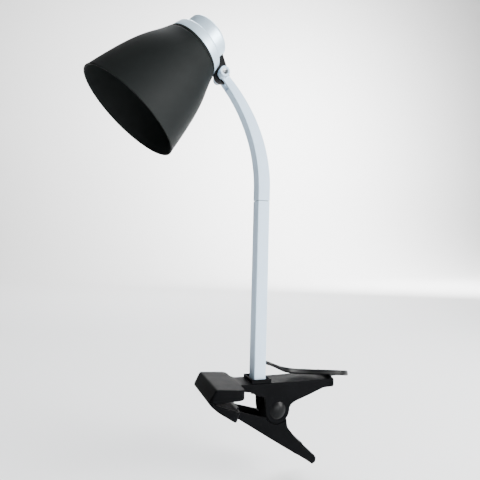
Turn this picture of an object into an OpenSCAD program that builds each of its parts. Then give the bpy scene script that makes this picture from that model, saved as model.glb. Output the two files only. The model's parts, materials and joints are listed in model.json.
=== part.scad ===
// Clip-on reading lamp: a sprung clip, a square arm that curves over, and a bell shade on a friction hinge.
// Origin: centre of the upper jaw's gripping face. +Z runs up the arm, the jaws point to -X, millimetres.

/* [Clip] */
// Width of the clip's body over its cheeks
body_w = 25; // [22:0.5:32]
// Wall of the clip's top and bottom plates
plate_t = 3; // [2:0.1:4]
// Wall of the clip's cheeks
skirt_t = 2.2; // [1.6:0.1:3]
// Width of the flared jaws
jaw_w = 58; // [44:1:80]
// Length of the handles behind the pivot
handle_len = 62; // [58:1:80]
// Radius of the round cheeks at the pivot
cheek_r = 13.2; // [11:0.1:14]
// Diameter of the pivot pin
pin_d = 4; // [3:0.1:6]
// Diameter of the domed pivot caps
pivot_cap_d = 17; // [12:0.5:20]
// Wire of the clip's spring
spring_wire = 1.6; // [1:0.1:2]
// Thickness of the rubber grip pads
pad_t = 3; // [2.4:0.1:4]

/* [Arm] */
// Side of the square arm tube
arm_w = 12.7; // [12:0.1:16]
// Wall of the arm tube
arm_wall = 1.2; // [0.8:0.1:1.6]
// Length of the lower arm above its socket floor
arm_lower_len = 180.5; // [120:0.5:260]
// Straight length of the upper arm before it bends
arm_straight = 11.5; // [4:0.5:60]
// Bend radius of the arm's centreline
bend_r = 147; // [120:1:200]
// Arc angle from the start of the bend to the head's hinge
bend_a = 46.8; // [40:0.1:60]
// Height of the square collar over the clip
collar_h = 3.6; // [3:0.5:12]
// Wall of the square collar
collar_wall = 4.2; // [2:0.1:5]

/* [Hinge] */
// Diameter of the round bosses on the arm's end
boss_d = 9.8; // [9.2:0.1:14]
// Diameter of the hinge bolt
bolt_d = 4; // [3:0.1:5]
// Radius of the bracket's eye
eye_r = 8; // [6.5:0.1:9]
// Thickness of the tilt bracket
bracket_t = 4.6; // [3:0.1:6]
// Distance from the hinge to the shade's axis
hinge_out = 33.8; // [33:0.1:45]
// Angle of the shade's axis from upright
tilt = 39.7; // [30:0.1:50]

/* [Shade] */
// Radius of the shade's mouth
mouth_r = 49.2; // [44:0.1:60]
// Radius of the shade's narrow end
neck_r = 28.4; // [26:0.1:30]
// Length of the shade
shade_len = 87; // [80:0.5:110]
// Wall of the shade
shade_wall = 0.9; // [0.6:0.1:1.5]
// Length of the cap's wide step
cap_low = 10.8; // [9:0.1:14]
// Length of the cap's narrow step
cap_high = 16; // [14.5:0.1:22]
// Radius of the cap's narrow step
cap_r = 21.6; // [20:0.1:23]

/* [Lampholder] */
// Diameter of the lampholder's body
holder_d = 27; // [25.6:0.1:28]
// Inner diameter of the screw shell
shell_d = 14.05; // [14:0.01:14.2]
// Depth of the screw shell
shell_len = 20; // [16:0.5:24]

/* [Cord] */
// Width of the flat flex
flex_w = 5.4; // [4:0.1:6.5]
// Thickness of the flat flex
flex_t = 3.4; // [2.6:0.1:4]
// Layers of flex in the coil
coil_layers = 3; // [2:1:4]

/* [Hidden] */
$fn = 64;
fit = 0.05;                 // running clearance all round
snug = 0.02;                // clearance of a seated piece
seat = 0.3;                 // clearance beside a soft or moulded piece

// Clip: named places, in the plane of the cheeks as [x, z]
half_w = body_w/2;
inner_w = half_w - skirt_t;
ear_t = 2.2;
ear_out = inner_w - 0.2;
arm_x = 41;
pivot = [58.5, -20];
top_slope = 4.3/95;                       // the top plate falls towards the handle
function top_z(x) = 8.7 - (x - 22)*top_slope;
tail_x = pivot.x + handle_len;            // where the upper handle's lip starts
jaw_back = 17.5;                          // inner end of the jaws
jaw_nose = -17.5;
jaw_rim = 1;                              // height of the upper jaw's rim over the grip face
nose_z = 1.9;
jaw_corner = 7;
jaw_fillet = 4;
neck_in = 0.3;                            // how far the neck lies inside the body's sides
grip_gap = 0.2;                           // gap between the closed noses
lower_tilt = 21.8;                        // slope of the lower jaw's face when closed
lower_len = 33.7;
pad_x0 = -10.3;
pad_x1 = 15;
pad_half = jaw_w/2 - 4;
pad_proud = 1;
tooth = 2.4;
lower_dx = handle_len - 62;               // the lower handle grows with the upper one
UPPER = [[14, 10.1], [22, 8.7], [tail_x - 3.4, top_z(tail_x - 3.4)], [tail_x, 7.6],
         [tail_x + 3.2, 4.8], [tail_x + 3.8, 3], [tail_x + 3.8, -2], [tail_x + 2.6, -3.8],
         [tail_x - 9, -3.6], [95.8, -8.5], [78, -13.5], [73.4, -16.2], [pivot.x + cheek_r, pivot.y + 1],
         pivot, [45.3, pivot.y], [44.2, -6.2], [34.6, -2.7], [30, 0.4], [23, 1.9], [14, 1.4]];
LOWER = [[8, -11], [13, -12.6], [17.2, -16.1], [44.5, -25.1], pivot + [0, -8], [68, -33.1],
         [69.4, -37.5], [77.7, -48.1], [88.1, -60.6], [95.9 + lower_dx, -66.3 - lower_dx*0.7],
         [101.9 + lower_dx, -71.2 - lower_dx*0.7], [103.9 + lower_dx, -74.3 - lower_dx*0.7],
         [103.2 + lower_dx, -78.2 - lower_dx*0.7], [99.5 + lower_dx, -80.1 - lower_dx*0.7],
         [91, -73.7], [71.8, -61], [47.3, -44.2], [17, -23.1], [7, -18]];

// Arm
socket_floor = 5.9;
collar_in = arm_w + 2*snug;
collar_out = arm_w/2 + collar_wall;       // half width of the collar
rim_w = 1.5;
dish = 2.4;                               // depth of the dish inside the collar's rim
arm_in = arm_w - 2*arm_wall;
arm_round = 1;
seam_gap = 0.15;
seam_z = socket_floor + 1.1 + arm_lower_len;
foot_z = seam_z - arm_lower_len;
bend_z = seam_z + arm_straight;
bend_x = arm_x - bend_r;
side_in = bend_r + 3;                     // the two sides are arcs that close on each other: the taper
side_out = bend_r - 2.5;
depth_end = 5.36;
cord_z = 25;                              // height at which the cord leaves the arm
cord_hole = 6.6;
grommet_in = 1.6;                         // thickness of the grommet's shoulders
grommet_out = 0.9;
hinge = [bend_x + bend_r*cos(bend_a), bend_z + bend_r*sin(bend_a)];
slot_r = 14;                              // depth of the fork from the hinge
washer_t = 0.3;
slot_half = bracket_t/2 + washer_t + 2*fit;
boss_near = 12;
boss_far = 10;
head_d = 5.7;
head_h = 2.6;

// Head: its own frame has the shade's mouth at z = 0 and the hinge beyond +X
hinge_up = shade_len + 6.4;
rim_r = 0.6;
ctrl_a = [mouth_r*0.828, shade_len*0.748];
ctrl_b = [neck_r*1.239, shade_len*0.688];
steps = 20;
cap_wall = 0.9;
cap_base = neck_r - 0.3;
cap_top = shade_len + cap_low + cap_high;
cap_round = 4;
slot_w = 10;
slot_in = 12;                             // where the slot starts, from the middle of the cap
slot_low = 1.7;                           // its ends, from the shade and from the cap's step
slot_high = 13.9;
flange_t = 2;
flange_out = 6;
flange_z = shade_len + snug;
holder_top = shade_len + 12;
foot_t = 2.6;
foot_z0 = holder_top + snug;
foot_r = cap_r - cap_wall - snug;
foot_cut = 8;                             // where the foot is cut back, from its middle
wire_hole = 8;
web_in = 9;                               // the bracket's web, from the shade's axis
web_out = 16;
web_top = shade_len + 23.2;
screw_y = 8.5;                            // holder screws and terminals, from the middle
terminal_x = 5.5;
holder_low = shade_len - 24;
shell_wall = 0.35;
shell_z = holder_low + 0.6;
ring_t = 4;
ring_w = 4.4;
contact_tip = 1.4;                        // how far the contact's tongue hangs below its strip
contact_z = shell_z + shell_len + contact_tip + 0.5;
screw_d = 3;
screw_deep = 6;
terminal_d = 4.2;
terminal_deep = 7;
lead_d = 1.8;

// Cord
coil_c = [95, 36.3, -12.4];
coil_lean = -20;
coil_half = 22.6;
coil_r = 16.4;                            // middle of the innermost turns
coil_rows = 2;
coil_h = coil_layers*flex_w;
plug_at = [65.5, 31, -51.2];
plug_lean = 128;
plug_len = 34;
plug_w = 35.3;
plug_t = 13.7;
pin_len = 19;
pin_dia = 4;
pin_gap = 18.6;
pin_root = 6;                             // length of a pin's thicker root inside the plug
relief_len = 12;
LEAD = [[49, 0, 24.8], [57.3, 0.7, 21.4], [65.3, 2.1, 17.5], [73.4, 3.8, 14], [82, 5.2, 11.4],
        [90.8, 5.3, 9.9], [99.6, 3.6, 9.3], [108, 0.2, 9.1], [116.2, -3.5, 9.2], [124.8, -6.4, 8.9],
        [133.6, -7.2, 8], [142.2, -5, 6.2], [149.3, 0, 3.9], [154.5, 6.8, 1.4], [157.8, 14.8, -1.3],
        [158.9, 23.3, -4], [157.8, 31.7, -6.9], [154.5, 39.4, -10.1], [149.1, 45.7, -13.6],
        [142.1, 50.1, -17.1], [134, 52.5, -20.3], [125.4, 53.2, -22.8]];
TAIL = [[108, 52.7, -12.8], [98, 50.1, -12.7], [88.5, 46.4, -12.6], [78.8, 42, -12.5],
        [71.3, 38.6, -13.8], [64.7, 35.4, -17.7], [59.9, 33, -23.6], [57.5, 31.5, -30.8],
        [57.6, 31, -38.4], [60.4, 31, -45.5], [65.5, 31, -51.2]];

// ---------- helpers ----------

// Stands an outline drawn in [x, z] up and gives it the width y0 to y1
module side(y0, y1) {
    translate([0, y1, 0]) rotate([90, 0, 0]) linear_extrude(y1 - y0) children();
}

// A rod along Y at [x, z]
module rod(at, r, y0, y1) {
    translate([at.x, y0, at.y]) rotate([-90, 0, 0]) cylinder(r = r, h = y1 - y0);
}

// The same piece on both sides of the middle plane
module both_sides() {
    children();
    mirror([0, 1, 0]) children();
}

module in_head() {
    translate([hinge.x, 0, hinge.y]) rotate([0, tilt, 0]) translate([-hinge_out, 0, -hinge_up]) children();
}

module in_lower_jaw() {
    translate([jaw_nose, 0, nose_z - grip_gap]) rotate([0, lower_tilt, 0]) children();
}

// ---------- clip ----------

// Plan of a flared jaw, from the nose back to where it runs into the body
module jaw_plan(x0, x1) {
    w = jaw_w/2;
    polygon([[x0, -w + 4], [x0 + 4, -w + 1.5], [x1 - jaw_corner - 2, -w], [x1 - jaw_corner, -w],
             [x1, -w + jaw_corner], [x1, w - jaw_corner], [x1 - jaw_corner, w],
             [x1 - jaw_corner - 2, w], [x0 + 4, w - 1.5], [x0, w - 4]]);
    for (s = [-1, 1]) {
        translate([x1 - jaw_corner, s*(w - jaw_corner)]) circle(jaw_corner);
        difference() {
            translate([x1 - 1, s*(half_w + jaw_fillet/2 - 0.5) - jaw_fillet/2 - 0.5])
                square([jaw_fillet + 1, jaw_fillet + 1]);
            translate([x1 + jaw_fillet, s*(half_w + jaw_fillet - neck_in/2)]) circle(jaw_fillet);
        }
        translate([x1 - 1, neck_in - half_w]) square([jaw_fillet + 1, body_w - 2*neck_in]);
    }
}

module upper_jaw() {
    intersection() {
        linear_extrude(40, center = true) jaw_plan(jaw_nose, jaw_back);
        side(-jaw_w, jaw_w)
            polygon([[jaw_nose, nose_z], [-11, 13], [jaw_back, 9.6], [jaw_back + jaw_fillet, 8.7],
                                     [jaw_back + jaw_fillet, 1.7], [jaw_back, jaw_rim], [-13.5, jaw_rim]]);
    }
}

module upper_lever() {
    core_deep = 5.2;                        // depth of the hollows over the grip pad
    color([0.11, 0.11, 0.12]) difference() {
        union() {
            difference() {
                side(-half_w, half_w) {
                    polygon(UPPER);
                    translate(pivot) circle(cheek_r);
                }
                // hollow under the top plate, closed at the jaw and at the handle's lip
                side(-inner_w, inner_w) polygon([[24, top_z(24) - plate_t], [tail_x, top_z(tail_x) - plate_t],
                                                 [tail_x, -9], [100, -40], [24, -40]]);
            }
            upper_jaw();
            // square collar, its rim level with the plate, over the pad that the arm's screw pulls against
            side(-collar_out, collar_out) polygon([[arm_x - collar_out, 2], [arm_x + collar_out, 2],
                [arm_x + collar_out, top_z(arm_x + collar_out) + collar_h],
                [arm_x - collar_out, top_z(arm_x - collar_out) + collar_h]]);
            // cross ribs under the handle
            for (x = [94, 106]) translate([x, -inner_w - 0.5, top_z(x) - plate_t - 2])
                cube([1.6, 2*inner_w + 1, 2.4]);
        }
        // socket for the arm, and the screw's way through its floor
        translate([arm_x - collar_in/2, -collar_in/2, foot_z - snug]) cube([collar_in, collar_in, 30]);
        translate([arm_x, 0, 0]) cylinder(d = 4.3, h = 20);
        // dish round the arm inside the collar's rim
        side(rim_w - collar_out, collar_out - rim_w) polygon([
            [arm_x - collar_out + rim_w, top_z(arm_x - collar_out) + collar_h - dish],
            [arm_x + collar_out - rim_w, top_z(arm_x + collar_out) + collar_h - dish],
            [arm_x + collar_out - rim_w, 30], [arm_x - collar_out + rim_w, 30]]);
        translate([arm_x, 0, -1]) cylinder(d = 8.4, h = 4.4);
        // pocket for the grip pad, with two cores above it
        translate([pad_x0 - snug, -pad_half - snug, -1])
            cube([pad_x1 - pad_x0 + 2*snug, 2*pad_half + 2*snug, pad_t + 1]);
        for (s = [-1, 1]) translate([-6, s*12 - 9, pad_t - 0.5]) cube([16, 18, core_deep]);
        rod(pivot, pin_d/2 + snug, -half_w - 1, half_w + 1);
    }
}

module teeth(n) {
    for (i = [0:n - 1]) translate([(i + 0.5)*tooth, 0, 0]) rotate([0, 45, 0])
        translate([-0.6, -pad_half - 1, -0.6]) cube([1.2, 2*pad_half + 2, 1.2]);
}

module upper_pad() {
    color([0.16, 0.16, 0.17]) difference() {
        translate([pad_x0, -pad_half, 0]) cube([pad_x1 - pad_x0, 2*pad_half, pad_t - snug]);
        translate([pad_x0, 0, 0]) teeth(floor((pad_x1 - pad_x0)/tooth));
    }
}

pad_u0 = (pad_x0 - jaw_nose)/cos(lower_tilt) + 0.4;
pad_u1 = lower_len - 3.2;

module lower_pad() {
    color([0.16, 0.16, 0.17]) in_lower_jaw() difference() {
        translate([pad_u0, -pad_half, pad_proud - pad_t + snug])
            cube([pad_u1 - pad_u0, 2*pad_half, pad_t - snug]);
        translate([pad_u0, 0, pad_proud]) teeth(floor((pad_u1 - pad_u0)/tooth));
    }
}

module lower_lever() {
    clear_r = cheek_r + 0.6;
    ear_r = 11;
    ear_in = ear_out - ear_t;
    color([0.11, 0.11, 0.12]) difference() {
        union() {
            difference() {
                side(-half_w, half_w) difference() {
                    polygon(LOWER);
                    translate(pivot) circle(clear_r);
                }
                side(-inner_w, inner_w) polygon([[19, 0], [19, -21], [47.3, -44.2 + plate_t*1.25],
                    [71.8, -61 + plate_t*1.25], [91, -73.7 + plate_t*1.25],
                    [98 + lower_dx, -76.2 - lower_dx*0.7], [101 + lower_dx, -73 - lower_dx*0.7], [125, 0]]);
            }
            // lower jaw
            in_lower_jaw() intersection() {
                linear_extrude(40, center = true) jaw_plan(0, lower_len);
                side(-jaw_w, jaw_w) polygon([[0, -0.3], [0, 0], [lower_len + jaw_fillet, 0],
                    [lower_len + jaw_fillet, -8], [30.5, -9.2], [22.4, -7.4], [12.6, -5.4], [4, -2.6]]);
            }
            // ears that carry the pin, inside the upper cheeks
            both_sides() difference() {
                side(ear_in, half_w) {
                    translate(pivot) circle(ear_r);
                    polygon([pivot + [-10, -4], pivot + [9, -4], pivot + [12, -22], pivot + [13, -36],
                             pivot + [-9, -24], pivot + [-13, -21]]);
                }
                rod(pivot, clear_r, ear_out, half_w + 1);
            }
        }
        in_lower_jaw() translate([pad_u0 - snug, -pad_half - snug, pad_proud - pad_t])
            cube([pad_u1 - pad_u0 + 2*snug, 2*pad_half + 2*snug, 10]);
        rod(pivot, pin_d/2 + fit, -half_w, half_w);
    }
}

cap_dome = 2.6;
pin_half = half_w + 1.2;

module pivot_pin() {
    color([0.75, 0.75, 0.77]) rod(pivot, pin_d/2, -pin_half, pin_half);
}

// Two domed caps pressed over the pin's ends
module pivot_caps() {
    dome_r = (pow(pivot_cap_d/2, 2) + cap_dome*cap_dome)/(2*cap_dome);
    color([0.1, 0.1, 0.11]) both_sides() difference() {
        intersection() {
            translate([pivot.x, half_w + snug + cap_dome - dome_r, pivot.y]) sphere(dome_r, $fn = 96);
            rod(pivot, pivot_cap_d/2, half_w + snug, half_w + 6);
        }
        rod(pivot, pin_d/2 + snug, half_w - 1, pin_half + snug);
    }
}

// Torsion spring round the pin, its two legs pressing the handles apart
module spring_leg(to, y, turn) {
    coil = pin_d/2 + 0.5 + spring_wire/2;
    away = to - pivot;
    reach = sqrt(away.x*away.x + away.y*away.y);
    lean = atan2(away.y, away.x) - turn*asin(coil/reach);
    from = pivot + coil*[cos(lean + turn*90), sin(lean + turn*90)];
    translate([from.x, y, from.y]) rotate([0, 90 - lean, 0])
        cylinder(d = spring_wire - 0.12, h = sqrt(reach*reach - coil*coil));
}

module clip_spring() {
    coil = pin_d/2 + 0.5 + spring_wire/2;
    turns = 8;
    pitch = spring_wire*0.94;
    y_end = (turns - 1)/2*pitch;
    leg_x = 88;                             // where the legs press on the two handles
    leg_low = [84, -63.4];
    color([0.7, 0.7, 0.72]) {
        translate([pivot.x, 0, pivot.y]) rotate([90, 0, 0]) rotate_extrude()
            for (i = [0:turns - 1]) translate([coil, i*pitch - y_end]) circle(d = spring_wire);
        spring_leg([leg_x, top_z(leg_x) - plate_t - spring_wire/2 - snug], -y_end, 1);
        spring_leg(leg_low, y_end, -1);
    }
}

// ---------- arm ----------

// Bar of w by d with its four long edges rounded
module round_bar(w, d, h, r) {
    for (s = [[w, d - 2*r], [w - 2*r, d]]) translate([-s.x/2, -s.y/2, 0]) cube([s.x, s.y, h]);
    for (x = [-1, 1], y = [-1, 1]) translate([x*(w/2 - r), y*(d/2 - r), 0]) cylinder(r = r, h = h);
}

module arm_lower() {
    color([0.72, 0.75, 0.79]) translate([arm_x, 0, foot_z]) difference() {
        round_bar(arm_w, arm_w, arm_lower_len - seam_gap, arm_round);
        translate([-arm_in/2, -arm_in/2, -1]) cube([arm_in, arm_in, arm_lower_len + 2]);
        translate([0, 0, cord_z - foot_z]) rotate([0, 90, 0]) cylinder(d = cord_hole, h = arm_w);
    }
}

// The bent tube's side view, its walls set in by `inset`, up to arc angle `a`
module bend_side(inset, a) {
    far = 2*bend_r;                         // beyond the tube on the outside of the bend
    intersection() {
        difference() {
            translate([arm_x + arm_w/2 - side_out, bend_z]) circle(side_out - inset, $fn = 180);
            translate([arm_x - arm_w/2 - side_in, bend_z]) circle(side_in + inset, $fn = 180);
        }
        polygon([[bend_x, bend_z], [bend_x + far, bend_z], [bend_x + far*cos(a/2), bend_z + far*sin(a/2)],
                 [bend_x + far*cos(a), bend_z + far*sin(a)]]);
    }
}

// The tube's view from the front: a straight foot, then sides that close slowly
module bend_front(inset) {
    w = arm_w/2 - inset;
    top = depth_end - inset;
    polygon([[-w, seam_z - 1], [w, seam_z - 1], [w, bend_z], [top, bend_z + 121],
             [-top, bend_z + 121], [-w, bend_z]]);
}

module bent_tube(inset, a, below) {
    intersection() {
        union() {
            side(-arm_w, arm_w) bend_side(inset, a);
            translate([arm_x - arm_w/2 + inset, -arm_w, seam_z - below])
                cube([arm_w - 2*inset, 2*arm_w, arm_straight + below + 0.01]);
        }
        translate([bend_x, 0, 0]) rotate([90, 0, 90]) linear_extrude(bend_r + arm_w) bend_front(inset);
    }
}

module arm_upper() {
    closed_a = bend_a - (slot_r + 3)/bend_r*57.3;
    color([0.72, 0.75, 0.79]) difference() {
        union() {
            bent_tube(0, bend_a, 0);
            rod(hinge, boss_d/2, -boss_near, boss_far);
        }
        bent_tube(arm_wall, closed_a, 1);
        // slot of the fork, and the bolt's bore with a sunk seat for its head
        rod(hinge, slot_r, -slot_half, slot_half);
        rod(hinge, bolt_d/2 + fit, -boss_near - 1, boss_far + 1);
        rod(hinge, head_d/2 + snug, -boss_near - 1, -boss_near + 0.6 + head_h);
        // way out for the leads at the fork's root
        in_fork() cylinder(d = 3.4, h = 30);
    }
}

// From the hinge back down the middle of the arm
module in_fork() {
    translate([hinge.x, 0, hinge.y]) rotate([0, 180 - bend_a, 0]) children();
}

spigot_half = 18;

module arm_spigot() {
    w = arm_in - 2*snug;
    color([0.6, 0.6, 0.62]) translate([arm_x, 0, seam_z - spigot_half]) difference() {
        translate([-w/2, -w/2, 0]) cube([w, w, spigot_half + arm_straight - 1]);
        translate([0, 0, -1]) cylinder(d = 6.4, h = 3*spigot_half);
    }
}

anchor_h = 12;

module arm_anchor() {
    w = arm_in - 2*snug;
    color([0.5, 0.5, 0.52]) translate([arm_x, 0, foot_z]) difference() {
        translate([-w/2, -w/2, 0]) cube([w, w, anchor_h]);
        translate([0, 0, -1]) cylinder(d = 4, h = anchor_h + 2);
    }
}

// Screw from below that pulls the arm into its socket
module arm_screw() {
    head_h2 = 2.2;
    color([0.78, 0.78, 0.8]) translate([arm_x, 0, 3.4 - head_h2]) difference() {
        union() {
            cylinder(d = 7.6, h = head_h2);
            cylinder(d = 3.96, h = foot_z + anchor_h - 3.4 + head_h2 - 1);
        }
        for (a = [0, 90]) rotate(a) translate([-2, -0.4, -1]) cube([4, 0.8, 2]);
    }
}

// Two-core lead inside the arm
module arm_wire() {
    flex_d = 4.4;
    color([0.2, 0.2, 0.2]) {
        translate([arm_x, 0, foot_z + anchor_h + seat])
            cylinder(d = flex_d, h = bend_z - foot_z - anchor_h - seat);
        translate([bend_x, 0, bend_z]) rotate([90, 0, 0]) rotate_extrude(angle = bend_a - 9)
            translate([bend_r, 0]) circle(d = flex_d);
    }
}

module hinge_bolt() {
    y0 = -boss_near + 0.6;
    color([0.8, 0.8, 0.82]) difference() {
        union() {
            rod(hinge, head_d/2, y0, y0 + head_h);
            rod(hinge, bolt_d/2, y0, boss_far + 4);
        }
        translate([hinge.x, y0, hinge.y]) for (a = [0, 90]) rotate([0, a + 30, 0])
            translate([-1.7, -1, -0.4]) cube([3.4, 2, 0.8]);
    }
}

module hinge_nut() {
    nut_r = 4;
    nut_h = 3;
    color([0.1, 0.1, 0.11]) difference() {
        union() {
            rod(hinge, nut_r, boss_far + snug, boss_far + nut_h);
            intersection() {
                translate([hinge.x, boss_far + nut_h - 1, hinge.y]) sphere(nut_r);
                rod(hinge, nut_r, boss_far + nut_h - 1, boss_far + 12);
            }
        }
        rod(hinge, bolt_d/2 + snug, boss_far - 1, boss_far + 4 + snug);
    }
}

module hinge_washers() {
    color([0.35, 0.35, 0.36]) both_sides() difference() {
        rod(hinge, boss_d/2 - 0.4, bracket_t/2 + fit, bracket_t/2 + fit + washer_t);
        rod(hinge, bolt_d/2 + fit, 0, 9);
    }
}

// ---------- head ----------

// Point of the shade's side at s from 0 at the mouth to 1 at the neck
function bell(s) = pow(1 - s, 3)*[mouth_r, 0] + 3*s*pow(1 - s, 2)*ctrl_a
                 + 3*s*s*(1 - s)*ctrl_b + pow(s, 3)*[neck_r, shade_len];

module shade() {
    outside = [for (i = [0:steps]) bell(i/steps)];
    inside = [for (i = [steps:-1:0]) bell(i/steps) - [shade_wall, i == steps ? shade_wall : 0]];
    color([0.07, 0.07, 0.08]) in_head() rotate_extrude($fn = 128) {
        polygon(concat(outside, inside));
        translate([mouth_r - shade_wall/2, rim_r]) circle(rim_r);
        // flat top that the lampholder's flange sits on, with a fine bead round it
        translate([holder_d/2 + fit, shade_len - shade_wall])
            square([neck_r - shade_wall/2 - holder_d/2 - fit, shade_wall]);
        translate([neck_r - 0.35, shade_len - 1.9]) circle(0.7);
    }
}

module shade_ring() {
    color([0.85, 0.85, 0.83]) in_head()
        translate([0, 0, shade_len - shade_wall - snug - ring_t]) difference() {
        cylinder(r = holder_d/2 + ring_w, h = ring_t);
        translate([0, 0, -1]) cylinder(d = holder_d + 2*snug, h = ring_t + 2);
        for (a = [0:30:330]) rotate(a) translate([holder_d/2 + ring_w + 0.6, 0, -1])
            cylinder(r = 1.4, h = ring_t + 2);
    }
}

module cap() {
    z0 = shade_len + snug;
    z1 = shade_len + cap_low;
    color([0.75, 0.78, 0.82]) in_head() difference() {
        rotate_extrude($fn = 128) difference() {
            union() {
                polygon([[0, z0], [cap_base, z0], [cap_base - 0.5, z0 + 3], [cap_base - 1.7, z1 - 1.6],
                         [cap_base - 2.5, z1 - 0.3], [cap_r + 0.6, z1 + 0.4], [cap_r, z1 + 1], [0, z1 + 1]]);
                translate([0, z1]) square([cap_r, cap_high - cap_round]);
                translate([0, cap_top - cap_round - 1]) square([cap_r - cap_round, cap_round + 1]);
                intersection() {
                    translate([cap_r - cap_round, cap_top - cap_round]) circle(cap_round);
                    translate([0, cap_top - cap_round - 5]) square([40, cap_round + 9]);
                }
            }
            polygon([[-1, z0 - 1], [cap_base - cap_wall, z0 - 1], [cap_base - cap_wall, z0],
                     [cap_base - 1.7 - cap_wall, z1 - 2.2], [cap_r - cap_wall, z1 - 1.2],
                     [cap_r - cap_wall, cap_top - cap_round], [cap_r - cap_wall - 2.4, cap_top - 1.8],
                     [cap_r - cap_wall - 4, cap_top - 1.2], [-1, cap_top - 1.2]]);
        }
        // slot that the bracket comes out of, and room for its eye
        rod([hinge_out, hinge_up], eye_r + seat, -bracket_t/2 - seat, bracket_t/2 + seat);
        translate([slot_in, -slot_w/2, shade_len + slot_low])
            cube([cap_base, slot_w, cap_low + slot_high - slot_low]);
    }
}

// Plate that carries the head: a foot on the lampholder, a web through the slot and the hinge's eye
module tilt_bracket() {
    eye = [hinge_out, hinge_up];
    color([0.09, 0.09, 0.1]) in_head() difference() {
        union() {
            translate([0, 0, foot_z0]) difference() {
                cylinder(r = foot_r, h = foot_t, $fn = 96);
                // cut back on both sides of the web
                both_sides() translate([foot_cut, bracket_t/2, -1]) cube([foot_r, foot_r, foot_t + 2]);
                translate([0, 0, -1]) cylinder(d = wire_hole, h = foot_t + 2);
            }
            side(-bracket_t/2, bracket_t/2) {
                translate(eye) circle(eye_r);
                polygon([[web_in, foot_z0], [web_in, foot_z0 + foot_t + 4], [cap_r - 2, web_top],
                         eye + eye_r*[0.511, 0.86], eye + eye_r*[-0.4, -0.916],
                         [cap_base - 2.4, shade_len + 4], [web_out, foot_z0]]);
            }
        }
        rod(eye, bolt_d/2 + fit, -bracket_t, bracket_t);
        for (s = [-1, 1]) translate([0, s*screw_y, foot_z0 - 1]) cylinder(d = screw_d + seat, h = foot_t + 2);
    }
}

module lampholder() {
    color([0.93, 0.92, 0.88]) in_head() difference() {
        union() {
            translate([0, 0, holder_low]) cylinder(d = holder_d, h = holder_top - holder_low);
            translate([0, 0, flange_z]) cylinder(d = holder_d + 2*flange_out, h = flange_t);
        }
        translate([0, 0, holder_low - 1])
            cylinder(d = shell_d + 2*shell_wall + 2*snug, h = shell_len + 1.6 + snug);
        translate([0, 0, contact_z - 2]) cylinder(d = 2*terminal_x, h = 4);
        // pockets for the terminal screws, threads for the screws from the bracket, channel for the leads
        for (s = [-1, 1]) {
            translate([s*terminal_x, 0, holder_top - terminal_deep])
                cylinder(d = terminal_d + 0.2, h = terminal_deep + 2);
            translate([0, s*screw_y, holder_top - screw_deep - 2]) cylinder(d = screw_d, h = screw_deep + 3);
        }
        translate([-terminal_x, -lead_d/2 - 0.2, holder_top - lead_d - 0.2])
            cube([2*terminal_x, lead_d + 0.4, 6]);
    }
}

module screw_shell() {
    color([0.85, 0.72, 0.4]) in_head() translate([0, 0, shell_z]) difference() {
        cylinder(d = shell_d + 2*shell_wall, h = shell_len);
        translate([0, 0, -1]) cylinder(d = shell_d, h = shell_len + 2);
    }
}

module centre_contact() {
    color([0.85, 0.72, 0.4]) in_head() {
        translate([-4.5, -1.6, contact_z + 1.4]) cube([9, 3.2, 0.55]);
        translate([-1.8, -1.6, contact_z - contact_tip]) cube([3.6, 3.2, 0.5]);
        translate([-1.8, -1.6, contact_z - contact_tip]) cube([0.5, 3.2, 3.2]);
    }
}

module terminals() {
    color([0.85, 0.72, 0.4]) in_head()
        for (s = [-1, 1]) translate([s*terminal_x, 0, holder_top - terminal_deep]) difference() {
        cylinder(d = terminal_d, h = 5);
        translate([-3, -0.4, 4.2]) cube([6, 0.8, 2]);
    }
}

module holder_screws() {
    color([0.8, 0.8, 0.82]) in_head() for (s = [-1, 1]) translate([0, s*screw_y, 0]) difference() {
        union() {
            translate([0, 0, foot_z0 + foot_t + snug]) cylinder(d = 5.4, h = 1.8);
            translate([0, 0, holder_top - screw_deep])
                cylinder(d = screw_d - 2*snug, h = foot_t + screw_deep + 1);
        }
        translate([-3, -0.4, foot_z0 + foot_t + 1.2]) cube([6, 0.8, 2]);
    }
}

// Leads that come down through the bracket's foot to the terminals
module head_wires() {
    color([0.75, 0.74, 0.7]) in_head() for (s = [-1, 1]) {
        translate([s*2.4, 0, holder_top - lead_d/2]) cylinder(d = lead_d, h = foot_t + 6.2);
        translate([s*terminal_x, 0, holder_top - lead_d/2]) rotate([0, -s*90, 0])
            cylinder(d = lead_d, h = 3.1);
    }
}

// ---------- cord ----------

function count(p) = len(p) - 1;
function at(p, i) = p[max(0, min(count(p), i))];
// Smooth curve through the points p, q of them to each stretch
function smooth(p, q) = [for (i = [0:count(p) - 1], k = [0:q - 1])
    let (t = k/q, a = at(p, i - 1), b = at(p, i), c = at(p, i + 1), d = at(p, i + 2))
    0.5*(2*b + t*(c - a) + t*t*(2*a - 5*b + 4*c - d) + t*t*t*(3*b - a - 3*c + d))];
function unit(v) = v/norm(v);
function heading(p, i) = unit(at(p, i + 1) - at(p, i - 1));
// One ring of the flat section round point i, its wide way level, or across the lamp
function ring(p, i, across) =
    let (f = heading(p, i),
         wide = unit(across ? [0, 1, 0] - f.y*f : cross([0, 0, 1], f)),
         up = cross(f, wide))
    [for (a = [0:36:324]) p[i] + wide*(flex_w/2*cos(a)) + up*(flex_t/2*sin(a))];

module flex(points, q, across) {
    p = concat(smooth(points, q), [points[count(points)]]);
    n = count(p);
    polyhedron(
        points = [for (i = [0:n]) each ring(p, i, across)],
        faces = concat([[for (k = [9:-1:0]) k]], [[for (k = [0:9]) n*10 + k]],
                       [for (i = [0:n - 1], k = [0:9])
                        [i*10 + k, i*10 + (k + 1)%10, (i + 1)*10 + (k + 1)%10, (i + 1)*10 + k]]));
}

module cord() {
    color([0.08, 0.08, 0.09]) flex(LEAD, 2, false);
}

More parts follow.
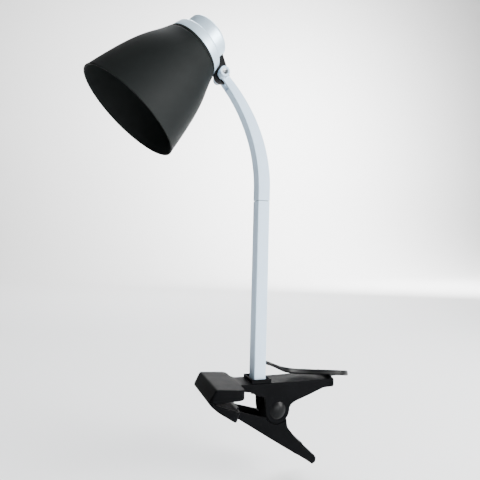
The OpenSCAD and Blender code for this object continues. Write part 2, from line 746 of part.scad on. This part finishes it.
module cord_tail() {
    color([0.08, 0.08, 0.09]) flex(TAIL, 2, true);
}

module in_coil() {
    translate(coil_c) rotate([coil_lean, 0, 0]) children();
}

// Outline of the coil: two long runs with round ends
module coil_plan(r) {
    for (s = [-1, 1]) translate([s*coil_half, 0]) circle(r);
    translate([-coil_half, -r]) square([2*coil_half, 2*r]);
}

module cord_coil() {
    color([0.09, 0.09, 0.1]) in_coil() translate([0, 0, -coil_h/2]) linear_extrude(coil_h) difference() {
        coil_plan(coil_r + flex_t*(coil_rows - 0.5));
        coil_plan(coil_r - flex_t/2);
    }
}

// Band round the coil's two runs
module coil_tie() {
    y = coil_r + flex_t*(coil_rows - 0.5) + snug;
    h = coil_h/2 + snug;
    t = 1;
    color([0.14, 0.14, 0.15]) in_coil() difference() {
        rotate([0, 90, 0]) translate([0, 0, -4]) round_bar(2*(h + t), 2*(y + t), 8, 2.4);
        translate([-5, -y, -h]) cube([10, 2*y, 2*h]);
    }
}

module in_plug() {
    translate(plug_at) rotate([0, plug_lean, 0]) children();
}

module plug_relief() {
    color([0.08, 0.08, 0.09]) in_plug() difference() {
        cylinder(r1 = 3.6, r2 = 5, h = relief_len);
        for (z = [2.4, 5.4, 8.4]) translate([-1.2, -9, z]) cube([2.4, 18, 1.3]);
    }
}

// Body of a flat plug: a flattened hexagon at the pins, drawn in towards the flex
module plug_body() {
    flat = 26;                              // width over which the body keeps its full thickness
    color([0.08, 0.08, 0.09]) in_plug() translate([0, 0, relief_len]) difference() {
        intersection() {
            linear_extrude(plug_len) polygon([[plug_t/2, -flat/2], [plug_t/2, flat/2], [plug_t/4, plug_w/2],
                                              [-plug_t/4, plug_w/2], [-plug_t/2, flat/2],
                                              [-plug_t/2, -flat/2], [-plug_t/4, -plug_w/2],
                                              [plug_t/4, -plug_w/2]]);
            rotate([0, 90, 0]) linear_extrude(plug_t, center = true)
                polygon([[0, -7], [0, 7], [-12, plug_w/2], [-plug_len, plug_w/2],
                         [-plug_len, -plug_w/2], [-12, -plug_w/2]]);
        }
        for (s = [-1, 1]) translate([0, s*pin_gap/2, plug_len - pin_root])
            cylinder(d = pin_dia + 1, h = pin_root + 1);
    }
}

module plug_pins() {
    color([0.8, 0.8, 0.82]) in_plug() for (s = [-1, 1])
        translate([0, s*pin_gap/2, relief_len + plug_len - pin_root + snug]) {
            cylinder(d = pin_dia + 1 - 2*snug, h = pin_root - snug);
            cylinder(d = pin_dia, h = pin_root + pin_len - 1.5);
            translate([0, 0, pin_root + pin_len - 1.5]) cylinder(d1 = pin_dia, d2 = pin_dia - 1.2, h = 1.5);
        }
}

// Grommet snapped into the arm's wall, a shoulder on each side of it
module cord_gland() {
    face = arm_w/2;
    color([0.09, 0.09, 0.1]) translate([arm_x, 0, cord_z]) rotate([0, 90, 0]) {
        translate([0, 0, face - arm_wall - snug - grommet_in]) cylinder(d = cord_hole + 1.2, h = grommet_in);
        translate([0, 0, face - arm_wall - snug - 0.1])
            cylinder(d = cord_hole - 2*snug, h = arm_wall + 2*snug + 0.2);
        translate([0, 0, face + snug]) cylinder(d = cord_hole + 0.6, h = grommet_out);
    }
}

upper_lever();
lower_lever();
pivot_pin();
pivot_caps();
clip_spring();
upper_pad();
lower_pad();
arm_lower();
arm_upper();
arm_spigot();
arm_anchor();
arm_screw();
arm_wire();
hinge_bolt();
hinge_nut();
hinge_washers();
tilt_bracket();
shade();
shade_ring();
cap();
lampholder();
screw_shell();
centre_contact();
terminals();
holder_screws();
head_wires();
cord_gland();
cord();
cord_coil();
coil_tie();
cord_tail();
plug_relief();
plug_body();
plug_pins();
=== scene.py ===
"""Clip-on reading lamp: the looks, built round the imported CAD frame."""

import json
import math

import bmesh
import bpy
from mathutils import Matrix, Vector


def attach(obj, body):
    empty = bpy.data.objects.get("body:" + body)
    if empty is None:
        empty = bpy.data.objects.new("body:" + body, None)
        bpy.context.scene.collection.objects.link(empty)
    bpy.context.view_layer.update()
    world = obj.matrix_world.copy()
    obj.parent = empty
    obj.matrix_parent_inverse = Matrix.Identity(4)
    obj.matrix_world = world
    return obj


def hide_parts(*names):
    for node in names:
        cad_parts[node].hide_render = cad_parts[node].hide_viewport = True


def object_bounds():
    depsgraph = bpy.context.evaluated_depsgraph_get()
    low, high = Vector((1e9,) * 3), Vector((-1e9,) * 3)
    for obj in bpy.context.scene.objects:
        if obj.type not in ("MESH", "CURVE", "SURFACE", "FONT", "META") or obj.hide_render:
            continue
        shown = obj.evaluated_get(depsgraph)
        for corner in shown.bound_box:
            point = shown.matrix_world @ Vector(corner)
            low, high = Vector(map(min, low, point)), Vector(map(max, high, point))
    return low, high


MM = 0.001
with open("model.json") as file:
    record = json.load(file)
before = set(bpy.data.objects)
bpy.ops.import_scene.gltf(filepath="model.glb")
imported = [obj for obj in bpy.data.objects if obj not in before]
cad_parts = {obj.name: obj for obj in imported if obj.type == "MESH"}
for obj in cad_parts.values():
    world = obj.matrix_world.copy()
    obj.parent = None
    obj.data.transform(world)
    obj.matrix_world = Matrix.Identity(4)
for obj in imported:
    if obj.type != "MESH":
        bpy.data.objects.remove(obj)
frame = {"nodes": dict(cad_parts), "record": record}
NODES = frame["nodes"]
CAD_BOX = [list(v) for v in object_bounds()]
BULB = next(m for m in frame["record"]["mounts"] if m["name"] == "bulb_shell")


# ---------- camera and light ----------

CAMERA_AT = (-0.12196, -0.34900, 0.13996)
CAMERA_TURN = (21.94, -1.12, -1.43)  # yaw to the right, pitch and roll, in degrees
SENSOR, LENS = 36, 28.59
WORLD_STRENGTH = 0.25

# Each soft light: name, place, target, size, watts, tint
LIGHTS = (
    ("key", (1.0, -0.95, 0.5), (0, 0, 0.18), (0.6, 0.8), 52, (1, 0.998, 0.99)),
    ("low", (0.3, -1.3, 0.1), (0, 0, 0.15), (0.8, 0.5), 18, (0.97, 0.985, 1)),
    ("back", (0.5, 0.9, 1.5), (0.35, 0, 0.1), (1.0, 1.2), 56, (0.94, 0.97, 1)),
    ("wall", (0.9, 1.6, 1.9), (1.3, 3.6, 0.9), (3.9, 2.2), 115, (1, 1, 1)),
    ("wall_right", (2.2, 1.2, 1.6), (3.4, 3.6, 1.2), (2.5, 2.2), 330, (1, 1, 1)),
)

# Floor: its drop under the lamp, half width, half depth, and the curve up to a wall behind
DROP, HALF_WIDTH, HALF_DEPTH, COVE_R, COVE_STEPS, WALL_TOP = 0.02, 7, 3.6, 1.2, 12, 4.5
FLOOR_COLOUR, FLOOR_ROUGHNESS = (0.93, 0.93, 0.93, 1), 0.9


def rig_camera():
    """A camera in front of the lamp and to its left, at half the arm's height."""
    yaw, pitch, roll = (math.radians(a) for a in CAMERA_TURN)
    back = Vector((-math.sin(yaw) * math.cos(pitch), -math.cos(yaw) * math.cos(pitch), math.sin(pitch)))
    level = Vector((math.cos(yaw), -math.sin(yaw), 0))
    up = back.cross(level)
    right = math.cos(roll) * level - math.sin(roll) * up
    up = math.sin(roll) * level + math.cos(roll) * up
    data = bpy.data.cameras.new("camera")
    data.sensor_width = SENSOR
    data.lens = LENS
    data.clip_start = 0.01
    cam = bpy.data.objects.new("camera", data)
    turn = Matrix((right, up, back)).transposed().to_4x4()
    cam.matrix_world = Matrix.Translation(Vector(CAMERA_AT)) @ turn
    bpy.context.collection.objects.link(cam)
    bpy.context.scene.camera = cam


def add_area(name, place, target, size, power, tint):
    data = bpy.data.lights.new(name, "AREA")
    data.shape = "RECTANGLE"
    data.size, data.size_y = size
    data.energy = power
    data.color = tint
    lamp = bpy.data.objects.new(name, data)
    lamp.location = place
    lamp.rotation_euler = (Vector(target) - Vector(place)).to_track_quat("-Z", "Y").to_euler()
    bpy.context.collection.objects.link(lamp)


def light_studio():
    """A pale, even world and soft lights. The lamp's front and top are lit, and its left side is in shade."""
    world = bpy.data.worlds.new("studio")
    world.use_nodes = True
    sky = world.node_tree.nodes["Background"]
    sky.inputs["Color"].default_value = (1.0, 1.0, 1.0, 1)
    sky.inputs["Strength"].default_value = WORLD_STRENGTH
    bpy.context.scene.world = world
    for light in LIGHTS:
        add_area(*light)


def lay_floor():
    """A plain pale floor just under the lamp, curving up to a wall far behind."""
    low = CAD_BOX[0][2] - DROP
    profile = [(-HALF_DEPTH, low)]
    for i in range(COVE_STEPS + 1):
        a = math.radians(90 * i / COVE_STEPS)
        profile.append((HALF_DEPTH - COVE_R + COVE_R * math.sin(a), low + COVE_R - COVE_R * math.cos(a)))
    profile.append((HALF_DEPTH, low + WALL_TOP))
    bm = bmesh.new()
    rows = [[bm.verts.new((x, y, z)) for y, z in profile] for x in (-HALF_WIDTH, HALF_WIDTH)]
    for i in range(len(profile) - 1):
        bm.faces.new((rows[0][i], rows[1][i], rows[1][i + 1], rows[0][i + 1]))
    floor = add_object("floor", bm)
    material = bpy.data.materials.new("floor")
    material.use_nodes = True
    shader = material.node_tree.nodes["Principled BSDF"]
    shader.inputs["Base Color"].default_value = FLOOR_COLOUR
    shader.inputs["Roughness"].default_value = FLOOR_ROUGHNESS
    floor.data.materials.append(material)


# ---------- helpers ----------

WELD = 3e-6        # distance in metres under which a CAD mesh's points are joined
KEPT = 0.5         # share of the triangles that a rounded copy keeps
SHARP = 32         # angle in degrees over which an edge of a plain copy stays sharp
WEAR_ROUNDS = 60   # rounds of smoothing where a rounded copy is worn most


def ease(t):
    t = min(1.0, max(0.0, t))
    return t * t * (3 - 2 * t)


def add_object(name, bm, smooth=True):
    mesh = bpy.data.meshes.new(name)
    bmesh.ops.recalc_face_normals(bm, faces=bm.faces)
    bm.to_mesh(mesh)
    bm.free()
    if smooth:
        mesh.shade_smooth()
    obj = bpy.data.objects.new(name, mesh)
    bpy.context.collection.objects.link(obj)
    return obj


def finished(obj):
    """The object with its modifiers worked into its mesh."""
    graph = bpy.context.evaluated_depsgraph_get()
    mesh = bpy.data.meshes.new_from_object(obj.evaluated_get(graph))
    obj.modifiers.clear()
    obj.data = mesh
    return obj


def copy_of(node, name):
    """A welded copy of a CAD node's mesh, in the frame's own place."""
    source = NODES[node]
    bm = bmesh.new()
    bm.from_mesh(source.data)
    bm.transform(source.matrix_world)
    bmesh.ops.remove_doubles(bm, verts=bm.verts, dist=WELD)
    return add_object(name, bm, smooth=False)


def add_smoothing(obj, rounds, group=""):
    soften = obj.modifiers.new("soften", "SMOOTH")
    soften.factor = 0.5
    soften.iterations = rounds
    soften.vertex_group = group


def moulded(node, name, voxel, rounds, worn=None):
    """A CAD node with its edges rounded over, as a mould or a coat of paint leaves them.

    worn(point in mm) is the share of the extra rounding that each place gets.
    """
    obj = copy_of(node, name)
    remesh = obj.modifiers.new("remesh", "REMESH")
    remesh.mode = "VOXEL"
    remesh.voxel_size = voxel * MM
    add_smoothing(obj, rounds)
    if worn:
        obj = finished(obj)
        group = obj.vertex_groups.new(name="worn")
        for vertex in obj.data.vertices:
            share = worn(vertex.co / MM)
            if share > 0:
                group.add([vertex.index], share, "REPLACE")
        add_smoothing(obj, WEAR_ROUNDS, group.name)
    thin = obj.modifiers.new("thin", "DECIMATE")
    thin.ratio = KEPT
    obj = finished(obj)
    obj.vertex_groups.clear()
    obj.data.shade_smooth()
    return obj


def crisp(node, name):
    """A CAD node as it is, with smooth curves and sharp corners."""
    obj = copy_of(node, name)
    obj.data.shade_smooth()
    obj.data.set_sharp_from_angle(angle=math.radians(SHARP))
    return obj


def dress(obj, body, slot, material, *nodes):
    """Gives a piece its material and its body, and hides the CAD nodes that it stands for. The slot is not
    used.
    """
    obj.data.materials.clear()
    obj.data.materials.append(material)
    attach(obj, body)
    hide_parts(*nodes)


# ---------- materials ----------

# Slow fields of tone and gloss and the span of the noise that they use; sizes are waves per metre
TONE_WAVES, GLOSS_WAVES, SPAN = 38, 90, (0.35, 0.65)
GRAIN_HEIGHT = 0.0002

# key: name, base colour, roughness, waves of grain per metre, its depth, change of tone, change of
# roughness, metallic, specular
SURFACES = {
    "clip": ("clip_plastic", (0.0031, 0.0033, 0.0037), 0.38, 2600, 0.08, 0.1, 0.03, 0, 0.008),
    "dome": ("dome_plastic", (0.002, 0.0023, 0.0026), 0.34, 2600, 0.06, 0.1, 0.03, 0, 0.08),
    "pad": ("grip_rubber", (0.009, 0.009, 0.0095), 0.72, 1800, 0.25, 0.2, 0.05, 0, 0.12),
    "arm": ("arm_paint", (0.45, 0.572, 0.70), 0.46, 3200, 0.04, 0.015, 0.03, 0, 0.06),
    "cap": ("cap_paint", (0.55, 0.70, 0.82), 0.4, 3200, 0.04, 0.015, 0.03, 0.5, 0.3),
    "shade": ("shade_paint", (0.0054, 0.0066, 0.0066), 0.66, 2400, 0.05, 0.02, 0.012, 0, 0.1),
    "bracket": ("bracket_paint", (0.003, 0.003, 0.0035), 0.42, 2400, 0.1, 0.12, 0.05, 0, 0.15),
    "steel": ("plated_steel", (0.36, 0.37, 0.38), 0.3, 1500, 0.08, 0.05, 0.05, 1, 0.5),
    "spring": ("spring_steel", (0.30, 0.30, 0.31), 0.32, 1500, 0.08, 0.1, 0.05, 1, 0.5),
    "zinc": ("cast_zinc", (0.10, 0.10, 0.105), 0.6, 900, 0.2, 0.08, 0.05, 0.8, 0.1),
    "fibre": ("washer_fibre", (0.12, 0.12, 0.12), 0.7, 1500, 0.2, 0.12, 0.05, 0, 0.5),
    "holder": ("holder_plastic", (0.72, 0.71, 0.66), 0.4, 1500, 0.05, 0.03, 0.05, 0, 0.5),
    "brass": ("brass", (0.70, 0.53, 0.25), 0.3, 1500, 0.06, 0.08, 0.05, 1, 0.5),
    "lead": ("lead_cover", (0.45, 0.44, 0.41), 0.5, 1500, 0.05, 0.12, 0.05, 0, 0.5),
    "cord": ("cord_cover", (0.003, 0.0032, 0.0035), 0.36, 1800, 0.06, 0.12, 0.05, 0, 0.1),
    "plug": ("plug_cover", (0.0055, 0.0055, 0.006), 0.42, 1800, 0.1, 0.12, 0.05, 0, 0.08),
}


def noise(material, waves, detail):
    """A noise field in metres of the object's own space."""
    nodes, links = material.node_tree.nodes, material.node_tree.links
    place = nodes.new("ShaderNodeTexCoord")
    field = nodes.new("ShaderNodeTexNoise")
    field.inputs["Scale"].default_value = waves
    field.inputs["Detail"].default_value = detail
    links.new(place.outputs["Object"], field.inputs["Vector"])
    return field.outputs["Fac"]


def shade_between(material, field, low, high, socket):
    """Spreads a socket between two colours over a field."""
    nodes, links = material.node_tree.nodes, material.node_tree.links
    ramp = nodes.new("ShaderNodeValToRGB")
    for element, place, colour in zip(ramp.color_ramp.elements, SPAN, (low, high)):
        element.position = place
        element.color = (*colour, 1)
    links.new(field, ramp.inputs["Fac"])
    links.new(ramp.outputs["Color"], nodes["Principled BSDF"].inputs[socket])


def satin(name, base, rough, grain, depth, tone, smear, metallic, specular):
    """A moulded or painted surface: fine grain, slow changes of tone and gloss."""
    material = bpy.data.materials.new(name)
    material.use_nodes = True
    nodes, links = material.node_tree.nodes, material.node_tree.links
    shader = nodes["Principled BSDF"]
    shader.inputs["Base Color"].default_value = (*base, 1)
    shader.inputs["Roughness"].default_value = rough
    shader.inputs["Metallic"].default_value = metallic
    shader.inputs["Specular IOR Level"].default_value = specular
    dark, light = (tuple(min(1, c * (1 + side * tone)) for c in base) for side in (-1, 1))
    shade_between(material, noise(material, TONE_WAVES, 3), dark, light, "Base Color")
    glossy, dull = ((rough + side * smear,) * 3 for side in (-1, 1))
    shade_between(material, noise(material, GLOSS_WAVES, 5), glossy, dull, "Roughness")
    bump = nodes.new("ShaderNodeBump")
    bump.inputs["Strength"].default_value = depth
    bump.inputs["Distance"].default_value = GRAIN_HEIGHT
    links.new(noise(material, grain, 3), bump.inputs["Height"])
    links.new(bump.outputs["Normal"], shader.inputs["Normal"])
    return material


# ---------- cord ----------

# All in millimetres. The flex runs from the arm round the handle's end to the coil, and on to the plug
LEAD = [(49, 0, 24.8), (57.3, 0.7, 21.4), (65.3, 2.1, 17.5), (73.4, 3.8, 14), (82, 5.2, 11.4),
        (90.8, 5.3, 9.9), (99.6, 3.6, 9.3), (108, 0.2, 9.1), (116.2, -3.5, 9.2), (124.8, -6.4, 8.9),
        (133.6, -7.2, 8), (142.2, -5, 6.2), (149.3, 0, 3.9), (154.5, 6.8, 1.4), (157.8, 14.8, -1.3),
        (158.9, 23.3, -4), (157.8, 31.7, -6.9), (154.5, 39.4, -10.1), (149.1, 45.7, -13.6),
        (142.1, 50.1, -17.1), (134, 52.5, -20.3)]
TAIL = [(108, 52.7, -12.8), (98, 50.1, -12.7), (88.5, 46.4, -12.6), (78.8, 42, -12.5),
        (71.3, 38.6, -13.8), (64.7, 35.4, -17.7), (59.9, 33, -23.6), (57.5, 31.5, -30.8),
        (57.6, 31, -38.4), (60.4, 31, -45.5), (65.5, 31, -51.2)]
FLEX = (5.4, 3.4)
SECTION_POINTS = 28
GROOVE_DEPTH, GROOVE_HALF = 0.32, 0.75  # share of the thickness lost between the cores, and half its width
COIL_AT = Vector((95, 36.3, -12.4))
COIL_LEAN = Matrix.Rotation(math.radians(-20), 3, "X")
COIL_HALF = 22.6
COIL_RADII = (19.8, 16.4)
COIL_LAYERS = (-5.4, 0, 5.4)
STEP = 1.6             # distance from ring to ring along the flex
STAND_UP = (6, 26)     # rings between which it turns on edge
LIE_DOWN = (14, 22)    # rings after the coil where it starts to turn across the lamp, and how many it takes


def coil_route():
    """The coil's turns: out on the lowest layer, in and out again up to the top one."""
    turns = [(r, z) for i, z in enumerate(COIL_LAYERS) for r in (COIL_RADII, COIL_RADII[::-1])[i % 2]]
    straight = [i / 4 for i in range(5)]
    bend = [15 * i for i in range(1, 12)]
    route = []
    for (r, z), (r_next, z_next) in zip(turns, turns[1:] + turns[-1:]):
        for s in straight:
            route.append((COIL_HALF - s * 2 * COIL_HALF, r, z))
        for turn in bend:
            a = math.radians(90 + turn)
            route.append((-COIL_HALF + r * math.cos(a), r * math.sin(a), z))
        for s in straight:
            share = ease(s)
            now = r + (r_next - r) * share
            route.append((-COIL_HALF + s * 2 * COIL_HALF, -now, z + (z_next - z) * share))
        for turn in bend:
            a = math.radians(270 + turn)
            route.append((COIL_HALF + r_next * math.cos(a), r_next * math.sin(a), z_next))
    route.append((COIL_HALF, *turns[-1]))
    return [COIL_AT + COIL_LEAN @ Vector(p) for p in route]


def smooth_route(p, step, cuts=12):
    """A smooth curve through the points, cut into even steps, and its length."""
    dense = []
    for i in range(len(p) - 1):
        b, c = p[i], p[i + 1]
        a = p[i - 1] if i else 3 * (b - c) + p[2]
        d = p[i + 2] if i + 2 < len(p) else 3 * (c - b) + a
        for k in range(cuts):
            t = k / cuts
            dense.append(0.5 * (2 * b + t * (c - a) + t * t * (2 * a - 5 * b + 4 * c - d)
                                + t ** 3 * (3 * b - a - 3 * c + d)))
    dense.append(p[-1])
    even, gone, wanted = [dense[0]], 0.0, step
    for a, b in zip(dense, dense[1:]):
        length = (b - a).length
        while gone + length >= wanted:
            even.append(a.lerp(b, (wanted - gone) / length))
            wanted += step
        gone += length
    if (even[-1] - dense[-1]).length > step * 0.3:
        even.append(dense[-1])
    else:
        even[-1] = dense[-1]
    return even, gone


def flex_section():
    """Two round cores side by side under one cover, as [wide, thick] offsets."""
    half, thick = FLEX[0] / 2, FLEX[1] / 2
    core = half - thick
    ring = []
    for i in range(SECTION_POINTS):
        a = 2 * math.pi * i / SECTION_POINTS
        x = math.copysign(core, math.cos(a)) + thick * math.cos(a)
        dip = GROOVE_DEPTH * math.exp(-(x / GROOVE_HALF) ** 2)
        ring.append((x, thick * math.sin(a) * (1 - dip)))
    return ring


def flex_rings(route, leaves):
    """Points with their wide and thick directions: level at the arm, then on edge, and across at the plug."""
    upright = COIL_LEAN @ Vector((0, 0, 1))
    start, end = STAND_UP
    before = None
    for i, point in enumerate(route):
        ahead = (route[min(i + 1, len(route) - 1)] - route[max(i - 1, 0)]).normalized()
        level = Vector((0, 0, 1)).cross(ahead).normalized()
        on_edge = (upright - upright.dot(ahead) * ahead).normalized()
        across = Vector((0, 1, 0)) - ahead.y * ahead
        share = ease((i - start) / (end - start))
        last = ease((i - leaves - LIE_DOWN[0]) / LIE_DOWN[1])
        if on_edge.dot(level) < 0:
            level = -level
        wide = (level * (1 - share) + on_edge * share).normalized()
        if across.dot(wide) < 0:
            across = -across
        wide = (wide * (1 - last) + across.normalized() * last).normalized()
        if before is not None and wide.dot(before) < 0:
            wide = -wide
        before = wide
        yield point, wide, ahead.cross(wide)


def make_cord(material):
    lead, tail = ([Vector(p) for p in points] for points in (LEAD, TAIL))
    route, length = smooth_route(lead + coil_route() + tail, STEP)
    leaves = min(range(len(route)), key=lambda i: (route[i] - tail[2]).length)
    section = flex_section()
    bm = bmesh.new()
    rings = []
    for point, wide, thick in flex_rings(route, leaves):
        rings.append([bm.verts.new((point + wide * a + thick * b) * MM) for a, b in section])
    for low, high in zip(rings, rings[1:]):
        for k in range(len(section)):
            n = (k + 1) % len(section)
            bm.faces.new((low[k], low[n], high[n], high[k]))
    bm.faces.new(rings[0][::-1])
    bm.faces.new(rings[-1])
    cord = add_object("flex", bm)
    dress(cord, "stand", "cord_pvc", material, "cord", "cord_coil", "cord_tail")
    print("cord length in mm:", round(length, 1))


# ---------- shade ----------

# In millimetres, in the head's own frame: the mouth at height 0, the head's axis upward
MOUTH_R, NECK_R, SHADE_LEN = 49.2, 28.4, 87
BELL_PULL = ((0.828, 0.748), (1.239, 0.688))  # the curve's handles: shares of an end's radius and the length
WALL, HOLE_R = 0.9, 13.55
RIM_R = 0.62                      # bead round the mouth
ROLL = (28.0, 85.0, 0.75, 0.8)    # rolled edge at the neck: centre and half sizes
SIDE_FROM, OUTER_TO, INNER_TO = 1.0, 83.6, 84.4   # heights between which the two faces of the side run
PLATE_UNDER = 86.1
SOCKET_HEIGHT = 73.6              # where the bulb's shell sits
SIDE_CUTS, TURNS, SHADE_SHARP = 72, 160, 60


def head_matrix():
    """From the head's own frame, with the shade's mouth at z = 0, to the part's."""
    up = -Vector(BULB["axis"]).normalized()
    side = Vector((0, 1, 0))
    out = side.cross(up)
    socket = Vector(BULB["pos_m"]) / MM
    origin = socket - up * SOCKET_HEIGHT
    m = Matrix((out, side, up)).transposed().to_4x4()
    return Matrix.Translation(origin * MM) @ m @ Matrix.Scale(MM, 4)


def lathe(name, profile):
    """A solid of revolution about the head's axis from a closed [radius, height] outline."""
    bm = bmesh.new()
    rings = []
    for i in range(TURNS):
        a = 2 * math.pi * i / TURNS
        rings.append([bm.verts.new((r * math.cos(a), r * math.sin(a), z)) for r, z in profile])
    for i, a in enumerate(rings):
        b = rings[(i + 1) % TURNS]
        for k in range(len(profile)):
            j = (k + 1) % len(profile)
            bm.faces.new((a[k], b[k], b[j], a[j]))
    bm.transform(head_matrix())
    return add_object(name, bm)


def bell(s):
    """Point of the shade's side, from the mouth at 0 to the neck at 1."""
    mouth, neck = Vector((MOUTH_R, 0)), Vector((NECK_R, SHADE_LEN))
    a, b = (Vector((r * wide, SHADE_LEN * high)) for r, (wide, high) in zip((MOUTH_R, NECK_R), BELL_PULL))
    return (1 - s) ** 3 * mouth + 3 * s * (1 - s) ** 2 * a + 3 * s * s * (1 - s) * b + s ** 3 * neck


def arc(x, y, wide, high, start, turn, count):
    """Points of an upright ellipse's arc, from a start angle on by even turns in degrees."""
    angles = [math.radians(start + turn * i) for i in range(count)]
    return [(x + wide * math.cos(a), y + high * math.sin(a)) for a in angles]


def make_shade(material):
    """The bell, with a bead at the mouth, a rolled edge at the neck and a plate with the holder's hole."""
    side = [bell(i / SIDE_CUTS) for i in range(SIDE_CUTS + 1)]
    outline = arc(MOUTH_R - WALL / 2, RIM_R, RIM_R, RIM_R, 180, 22.5, 9)
    outline += [(p.x, p.y) for p in side if SIDE_FROM < p.y < OUTER_TO]
    outline += arc(*ROLL, -80, 16, 11)
    outline += [(28.2, 86.2), (28.15, 86.7), (27.9, SHADE_LEN), (27.4, SHADE_LEN), (HOLE_R, SHADE_LEN),
                (HOLE_R, PLATE_UNDER), (26.6, PLATE_UNDER), (27.2, 85.6)]
    outline += [(p.x - WALL, p.y) for p in reversed(side) if SIDE_FROM < p.y < INNER_TO]
    shade = lathe("bell_shade", outline)
    shade.data.set_sharp_from_angle(angle=math.radians(SHADE_SHARP))
    dress(shade, "head", "shade_paint", material, "shade")


# ---------- the rest of the lamp ----------

# In millimetres
SEAM = 0.5                   # how far the straight tube's top is lowered
TOP_BAND = 0.05              # how far under its top a point counts as part of it
JAW_END, JAW_FADE = 15, 5    # where the jaw's wear ends toward the body, and over what length it fades
GRIP_TOP, GRIP_FADE = 4, 2   # the height where it starts over the grip face, and over what height it grows

# CAD nodes that show as they are: surface, then the nodes
AS_THEY_ARE = {
    "pad": ("upper_pad", "lower_pad"),
    "steel": ("pivot_pin", "arm_screw", "holder_screws", "plug_pins"),
    "spring": ("clip_spring",),
    "zinc": ("arm_spigot", "arm_anchor"),
    "cord": ("arm_wire",),
    "fibre": ("hinge_washers",),
    "holder": ("shade_ring",),
    "brass": ("screw_shell", "centre_contact", "terminals"),
    "lead": ("head_wires",),
    "plug": ("coil_tie", "plug_relief", "plug_body"),
}


def jaw_top(p):
    """Wear of the upper jaw's top, sides and nose, fading out toward the body and the grip face."""
    return ease((JAW_END - p.x) / JAW_FADE) * ease((p.z - GRIP_TOP) / GRIP_FADE)


def open_seam(obj):
    """Lowers the top of the straight tube, so that a fine dark line shows where the arm's two tubes meet."""
    top = max(v.co.z for v in obj.data.vertices)
    for vertex in obj.data.vertices:
        if vertex.co.z > top - TOP_BAND * MM:
            vertex.co.z -= SEAM * MM


# Copies of CAD nodes: node, name, body, slot, surface, and for a rounded copy the voxel in millimetres, the
# rounds of smoothing and the wear
PIECES = (
    ("upper_lever", "clip_upper", "stand", "plastic_black", "clip", (0.42, 5, jaw_top)),
    ("lower_lever", "clip_lower", "lower_grip", "plastic_black", "clip", (0.42, 5)),
    ("arm_upper", "arm_bent", "stand", "arm_paint", "arm", (0.32, 3)),
    ("arm_lower", "arm_straight", "stand", "arm_paint", "arm", ()),
    ("cap", "holder_cap", "head", "cap_paint", "cap", (0.36, 2)),
    ("tilt_bracket", "bracket", "head", "bracket_paint", "bracket", (0.35, 2)),
    ("pivot_caps", "pivot_domes", "stand", "plastic_black", "dome", ()),
    ("hinge_nut", "dome_nut", "stand", "plastic_black", "dome", ()),
    ("hinge_bolt", "bolt", "stand", "steel", "steel", ()),
    ("cord_gland", "gland", "stand", "cord_pvc", "cord", ()),
    ("lampholder", "holder", "head", "holder_plastic", "holder", ()),
)


def build():
    m = {key: satin(*facts) for key, facts in SURFACES.items()}
    make_cord(m["cord"])
    make_shade(m["shade"])
    for node, name, body, slot, key, rounding in PIECES:
        obj = moulded(node, name, *rounding) if rounding else crisp(node, name)
        if node == "arm_lower":
            open_seam(obj)
        dress(obj, body, slot, m[key], node)
    for key, nodes in AS_THEY_ARE.items():
        for node in nodes:
            materials = NODES[node].data.materials
            materials.clear()
            materials.append(m[key])


rig_camera()
light_studio()
lay_floor()
build()
